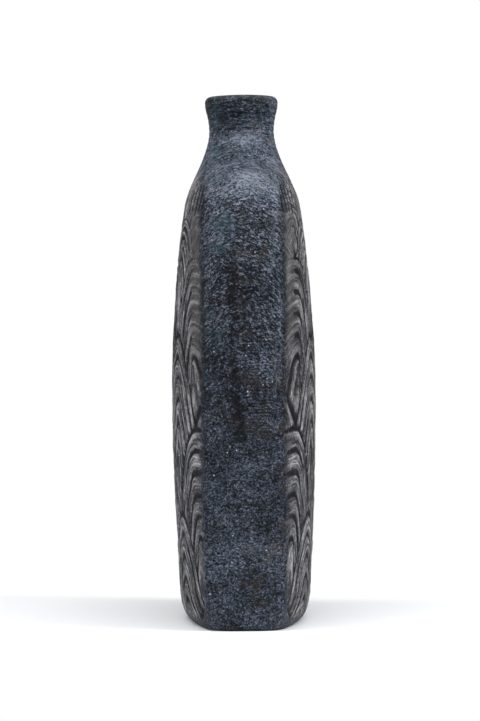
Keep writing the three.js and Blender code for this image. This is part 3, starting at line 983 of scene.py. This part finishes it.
def gouged(finish, fine):
    """Grey, drier clay over the slip where the gouge has cut: dark in the grooves, partly from oxide settled
    there and partly painted shade, pale on the lands.
    """
    slip_colour = finish.colour
    flow = finish.attribute("flow", "Vector")
    carved = finish.attribute("carved")
    groove = finish.attribute("groove")
    fibres = noise(scaled(flow, (1.0, 9.0, 60.0)), 0.14, detail=3.0, roughness=0.65, seed=5.0)
    cloud = noise(finish.place, 26 * MM, detail=3.0, seed=6.0)
    tone = 0.48 + (fine - 0.5) * 1.3 + (fibres - 0.5) * 2.6 + (cloud - 0.5) * 0.6
    finish.ramp(tone, (0.25, CARVED_DARK), (0.48, CARVED_GREY), (0.68, CARVED_ASH), (0.88, CARVED_PALE))
    blue = step_between(noise(finish.place, 17 * MM, seed=11.0), 0.5, 0.65) * 0.35
    finish.layer(blue, SLIP_BLUE)
    brown_place = step_between(noise(finish.place, 15 * MM, detail=3.0, seed=12.0), 0.55, 0.7)
    finish.layer(brown_place * 0.35, IRON_BROWN)
    # The lands are smooth and brown along the upper edges, where the gouge was held lightly.
    rubbed = within(finish.z, *UPPER_EDGE, 232 * MM, 245 * MM)
    rubbed = rubbed * step_between(absolute(finish.y), STRIP_HALF + 10 * MM, STRIP_HALF + 4 * MM)
    finish.layer(rubbed * 0.55, CARVED_BROWN)
    bare = finish.colour
    finish.colour = slip_colour
    finish.layer(carved * 0.9, bare)
    # Oxide settled in the grooves, darkened further with painted shade.
    finish.layer(step_between(groove, 0.06, 0.6) * 0.96, GROOVE_BLACK)
    return fibres * carved, groove


def carved_stoneware():
    """The broad walls: slip at their edges and shoulders, and gouged clay between."""
    finish = Finish("carved_stoneware")
    fine, fleck, sweep = finish.slip()
    fibres, groove = gouged(finish, fine)
    finish.layer(finish.specks(2.3 * MM, 0.12, 1.0) * 0.7, GRIT_AND_GLINT_WHITE)
    roughness = 0.42 + 0.35 * fleck + groove * 0.1
    height = fine * 0.7 + fleck * 0.4 + fibres * 0.6 + sweep * 0.4
    return finish.finish(roughness, height, bump=0.9, reach=0.9 * MM)


def neck_stoneware():
    """The thrown neck and lip: the same slip with fine level scratches, a worn rim and painted shade under
    the lip.
    """
    finish = Finish("neck_stoneware")
    level_lines = scaled(finish.place, (0.25, 0.25, 2.2))
    scratches = noise(level_lines, 1.4 * MM, detail=3.0, roughness=0.7, seed=14.0)
    level = step_between(finish.z, COLLAR_FOOT, COLLAR_FOOT + 8 * MM)
    # Painted shade: the neck is darker just under the lip, where it faces down.
    dark = step_between(finish.z, HEIGHT - 12 * MM, HEIGHT - 28 * MM, -0.09, -0.01) * level
    fine, fleck, _ = finish.slip((scratches - 0.5) * 1.1 * level + dark, grain=0.62)
    rim_wear = step_between(finish.z, HEIGHT - 3 * MM, HEIGHT - 0.5 * MM) * step_between(fine, 0.4, 0.6)
    finish.layer(rim_wear * 0.6, CARVED_BROWN)
    finish.layer(finish.specks(2.3 * MM, 0.12, 1.0) * 0.7, GRIT_AND_GLINT_WHITE)
    roughness = 0.4 + 0.35 * fleck
    height = fine * 0.7 + fleck * 0.5 + scratches * 0.4 * level
    return finish.finish(roughness, height, bump=0.8, reach=0.7 * MM)


def foot_stoneware():
    """The heel and foot: the slip is rubbed through to brown-grey clay where the pot stands."""
    finish = Finish("foot_stoneware")
    fine, fleck, sweep = finish.slip()
    fibres, groove = gouged(finish, fine)
    worn = step_between(finish.z, 1.2 * MM, 0.0) * step_between(fleck, 0.35, 0.55)
    finish.layer(worn * 0.6, RAW_CLAY)
    finish.layer(finish.specks(2.3 * MM, 0.2, 1.0) * 0.85, GRIT_AND_GLINT_WHITE)
    roughness = 0.38 + 0.4 * fleck + groove * 0.1
    height = fine * 0.7 + fleck * 0.5 + fibres * 0.6 + sweep * 0.4
    return finish.finish(roughness, height, bump=0.9, reach=0.9 * MM)


def raw_stoneware():
    """Unglazed clay inside the pot: matt, grey-brown and finger-marked."""
    finish = Finish("raw_stoneware")
    fine = noise(finish.place, 1.6 * MM, detail=4.0, roughness=0.7, seed=18.0)
    cloud = noise(finish.place, 20 * MM, detail=3.0, seed=19.0)
    tone = fine * 0.5 + cloud * 0.5
    finish.ramp(tone, (0.35, CLAY_DARK), (0.55, RAW_CLAY), (0.75, CLAY_PALE))
    finish.layer(finish.specks(2.5 * MM, 0.06, 5.0) * 0.5, GRIT_AND_GLINT_WHITE)
    return finish.finish(0.78 + 0.15 * fine, fine, bump=0.6, reach=0.5 * MM, specular=0.2)


# ---------- Pieces ----------

def belongs(piece, slot, *nodes):
    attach(piece, "root")
    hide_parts(*nodes)


def column_range(first, count):
    return np.arange(first, first + count + 1) % SKIN.shape[1]


def make_broad_walls(clay, carving):
    """The two carved walls, each from one narrow side to the other and up to the neck."""
    rows = np.concatenate([np.arange(BASE_ROW, CROWN_ROW, 2), np.arange(CROWN_ROW, COLLAR_ROW + 1)])
    inner = lining(rows)[::INNER_STEP]
    walls = {"back": 0, "front": BROAD_CELLS + STRIP_CELLS}
    for side, first in walls.items():
        columns = column_range(first, BROAD_CELLS)
        coarse = columns[::INNER_STEP]
        outer = SKIN[rows][:, columns]
        wall = shell(f"carved_{side}_wall", outer, OUTWARD[rows][:, columns], inner[:, coarse])
        wall = shaped_by(wall, carving, clay=clay)
        belongs(wall, "carved_stoneware", f"{side}_wall")


def crease_path(side):
    """The crease on a narrow side, as a drawn line from the shoulder down to below the belly."""
    line = [(0.4, 228), (-3.4, 215), (-5.2, 204), (-6.3, 188), (-6.7, 168), (-6.3, 154), (-5.6, 141)]
    line += [(-4.8, 131), (-3.8, 123), (-2.8, 114), (-2.0, 106)]
    points = [(side * HALF_WIDTH, side * y * MM, z * MM) for y, z in line]
    return drawn_path("crease", points)


def make_narrow_sides(clay):
    """The two scraped sides, each arched at the top."""
    scraping = side_scraping()
    rows = np.arange(BASE_ROW, CROWN_ROW + 1)
    inner = lining(rows)[::2 * INNER_STEP]
    sides = {"left": (-1, BROAD_CELLS), "right": (1, 2 * BROAD_CELLS + STRIP_CELLS)}
    for name, (side, first) in sides.items():
        columns = column_range(first, STRIP_CELLS)
        outer = SKIN[rows][:, columns]
        # Between two rows of the broad walls, the seams lie on the straight line that the walls have there.
        for edge in (0, -1):
            outer[1:-1:2, edge] = (outer[0:-2:2, edge] + outer[2::2, edge]) / 2
        normals = OUTWARD[rows][:, columns]
        wall = shell(f"scraped_{name}_side", outer, normals, inner[:, columns[::INNER_STEP]])
        crease = crease_path(side)
        wall = shaped_by(wall, scraping, crease=crease, seed=4.0 + 11.0 * (side < 0), clay=clay)
        bpy.data.objects.remove(crease)
        belongs(wall, "burnished_stoneware", f"{name}_side_wall")


def make_neck(clay, marks):
    """The collar, oval at its foot and round at the waist."""
    rows = np.arange(COLLAR_ROW, LIP_ROW + 1)
    second = BROAD_CELLS + STRIP_CELLS
    columns = np.concatenate([np.arange(BROAD_CELLS), second + np.arange(BROAD_CELLS)])
    inner = lining(rows)[::NECK_INNER_STEP][:, columns[::INNER_STEP]]
    outer = SKIN[rows][:, columns]
    neck = shell("thrown_neck", outer, OUTWARD[rows][:, columns], inner, closed=True)
    neck = shaped_by(neck, marks, clay=clay)
    belongs(neck, "neck_stoneware", "neck_collar")


def lip_profile():
    """The lip's section, radius against height, from its inner foot round the outside to the mouth."""
    outer = NECK_RADIUS + LIP_OVERHANG * 0.65
    inner = NECK_RADIUS - WALL
    rim = NECK_RADIUS + LIP_OVERHANG
    mouth = inner + MOUTH_FLARE
    spring = HEIGHT - LIP_ROUND
    angle = np.linspace(0, math.pi / 2, 14)
    over = np.column_stack([rim - LIP_ROUND + LIP_ROUND * np.cos(angle), spring + LIP_ROUND * np.sin(angle)])
    flank = bezier((outer, LIP_FOOT), (rim, (LIP_FOOT + spring) / 2), (rim, spring), steps=12)
    inside = bezier((rim - LIP_ROUND, HEIGHT), (mouth, HEIGHT), (inner, spring), (inner, LIP_FOOT), steps=16)
    return np.vstack([flank, over[:-1], inside, [(inner, LIP_FOOT)]])


def make_lip(clay, marks):
    """The rolled lip: its section turned round the axis."""
    profile = lip_profile()
    ahead = np.gradient(profile, axis=0)
    normal = np.column_stack([ahead[:, 1], -ahead[:, 0]])
    normal /= np.linalg.norm(normal, axis=1, keepdims=True)
    vertices = np.vstack([circle(radius, z, LIP_STEPS) for radius, z in profile])
    normals = np.vstack([circle(out, up, LIP_STEPS) for out, up in normal])
    faces = grid_faces(0, len(profile), LIP_STEPS, closed=True)
    last = (len(profile) - 1) * LIP_STEPS
    for j in range(LIP_STEPS):
        k = (j + 1) % LIP_STEPS
        faces.append((k, j, last + j, last + k))
    lip = new_piece("rolled_lip", vertices, faces, normals)
    lip = shaped_by(lip, marks, ring_depth=LIP_RING_DEPTH, clay=clay)
    belongs(lip, "neck_stoneware", "lip_ring")


def make_foot(clay, carving):
    """The base slab: a rounded heel, where the carving runs out, over a flat foot."""
    rows = np.arange(0, BASE_ROW + 1)
    columns = np.arange(SKIN.shape[1])
    heel = SKIN[rows][:, columns]
    # Rings that close the flat foot and the floor of the pot, as shares of the outline.
    shrink = (0.94, 0.85, 0.7, 0.5, 0.25)
    under = [heel[0] * (share, share, 1) for share in shrink[::-1]]
    over = [heel[-1] * (share, share, 1) for share in shrink]
    rings = np.array([*under, *heel, *over])
    normals = np.zeros_like(rings)
    normals[len(under):len(under) + len(rows)] = OUTWARD[rows][:, columns]
    normals[len(under)] = 0
    count = len(columns)
    vertices = np.vstack([rings.reshape(-1, 3), [(0, 0, 0), (0, 0, BASE_TOP)]])
    faces = grid_faces(0, len(rings), count, closed=True)
    bottom = len(vertices) - 2
    last = (len(rings) - 1) * count
    for j in range(count):
        k = (j + 1) % count
        faces.append((bottom, k, j))
        faces.append((bottom + 1, last + j, last + k))
    normals = np.vstack([normals.reshape(-1, 3), np.zeros((2, 3))])
    foot = new_piece("flat_foot", vertices, faces, normals)
    foot = shaped_by(foot, carving, clay=clay)
    belongs(foot, "foot_stoneware", "base_slab")


def make_coils(clay):
    """The rolled coils that seal the inner corners, up the four seams and round the base."""
    rolling = rolled_clay()
    radius = COIL_RADIUS
    for name in ("coil_front_left", "coil_front_right", "coil_back_left", "coil_back_right"):
        low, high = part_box(name)
        side = math.copysign(1, low.x)
        inset = HALF_WIDTH - max(abs(low.x), abs(high.x)) + radius
        heights = np.linspace(low.z + radius, high.z - radius, 40)
        points = [(side * (half_at(WIDTH, z) - inset), (low.y + high.y) / 2, z) for z in heights]
        coil = shaped_by(drawn_path(f"rolled_{name}", points), rolling, radius=radius, clay=clay)
        belongs(coil, "raw_stoneware", name)
    low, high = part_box("base_coil")
    level = (low.z + high.z) / 2
    ring = skin([level])[0]
    normal = outward_of(skin([level - MM, level, level + MM]))[1]
    inset = half_at(WIDTH, level) - high.x + radius
    points = (ring - normal * inset)[::4]
    points[:, 2] = level
    path = drawn_path("rolled_base_coil", points, closed=True)
    coil = shaped_by(path, rolling, radius=radius, clay=clay)
    belongs(coil, "raw_stoneware", "base_coil")


marks = turning_marks()
neck_clay = neck_stoneware()
carving = fan_carving()
make_broad_walls(carved_stoneware(), carving)
make_narrow_sides(burnished_stoneware())
make_neck(neck_clay, marks)
make_lip(neck_clay, marks)
make_foot(foot_stoneware(), carving)
make_coils(raw_stoneware())


# ---------- Floor, light and camera ----------

FLOOR_RADIUS = 1.3
FLOOR_LEVEL = -0.05 * MM
FLOOR_SIDES = 64
FADE_START = FLOOR_RADIUS * 0.16
FADE_END = FLOOR_RADIUS * 0.42
LIGHT_AIM = Vector((0, 0, 0.14))


def make_floor():
    """A round sheet of white paper that fades out into the white of the studio."""
    rim = circle(FLOOR_RADIUS, FLOOR_LEVEL, FLOOR_SIDES)
    mesh = bpy.data.meshes.new("studio_floor")
    mesh.from_pydata(rim.tolist(), [], [tuple(range(FLOOR_SIDES))])
    floor = bpy.data.objects.new("studio_floor", mesh)
    bpy.context.scene.collection.objects.link(floor)
    paper = Finish("white_paper")
    fibres = noise(paper.place, 4 * MM, detail=3.0)
    paper.ramp(fibres, (0.0, PAPER_SHADE), (1.0, PAPER_WHITE))
    mesh.materials.append(paper.finish(0.9 + 0.05 * fibres, fibres, bump=0.02, reach=0.1 * MM))
    from_pot = calculate("SQRT", paper.x * paper.x + paper.y * paper.y)
    clear = paper.tree.nodes.new("ShaderNodeBsdfTransparent")
    fade = add_node(paper.tree, "ShaderNodeMixShader", {
        "Fac": step_between(from_pot, FADE_START, FADE_END),
        1: paper.shader.outputs[0],
        2: clear.outputs[0],
    })
    paper.tree.links.new(fade.outputs[0], paper.tree.nodes["Material Output"].inputs["Surface"])


def area_light(name, place, size, power):
    """A square softbox turned to the middle of the pot."""
    lamp = bpy.data.lights.new(name, "AREA")
    lamp.shape = "SQUARE"
    lamp.size = size
    lamp.energy = power
    holder = bpy.data.objects.new(name, lamp)
    holder.location = place
    holder.rotation_euler = (LIGHT_AIM - Vector(place)).to_track_quat("-Z", "Y").to_euler()
    bpy.context.scene.collection.objects.link(holder)


def make_surroundings(brightness):
    """An even white studio: its walls are seen pure white, and the pot is lit by a softer white."""
    world = bpy.data.worlds.new("white_studio")
    world.use_nodes = True
    bpy.context.scene.world = world
    tree = world.node_tree
    background = tree.nodes["Background"]
    rays = tree.nodes.new("ShaderNodeLightPath")
    seen = add_node(tree, "ShaderNodeBackground", {"Color": (1, 1, 1, 1), "Strength": 1.0})
    background.inputs["Color"].default_value = (0.97, 0.985, 1.0, 1.0)
    background.inputs["Strength"].default_value = brightness
    choice = add_node(tree, "ShaderNodeMixShader", {
        "Fac": rays.outputs["Is Camera Ray"], 1: background.outputs[0], 2: seen.outputs[0],
    })
    tree.links.new(choice.outputs[0], tree.nodes["World Output"].inputs["Surface"])


def make_camera():
    """A long lens at half the pot's height, square to a narrow side."""
    camera = bpy.data.cameras.new("camera")
    camera.lens = 173
    camera.sensor_width = 36
    holder = bpy.data.objects.new("camera", camera)
    holder.location = (2.0, -0.002, 0.148)
    holder.rotation_euler = (math.radians(90), math.radians(0.5), math.radians(90))
    bpy.context.scene.collection.objects.link(holder)
    bpy.context.scene.camera = holder


make_floor()
make_surroundings(0.36)
area_light("overhead_softbox", (0.6, 0.0, 1.5), 1.3, 23)
area_light("right_softbox", (0.85, 1.4, 1.0), 0.7, 23)
area_light("left_softbox", (0.3, -1.5, 0.9), 0.9, 14)
make_camera()
bpy.context.scene.view_settings.view_transform = "Standard"
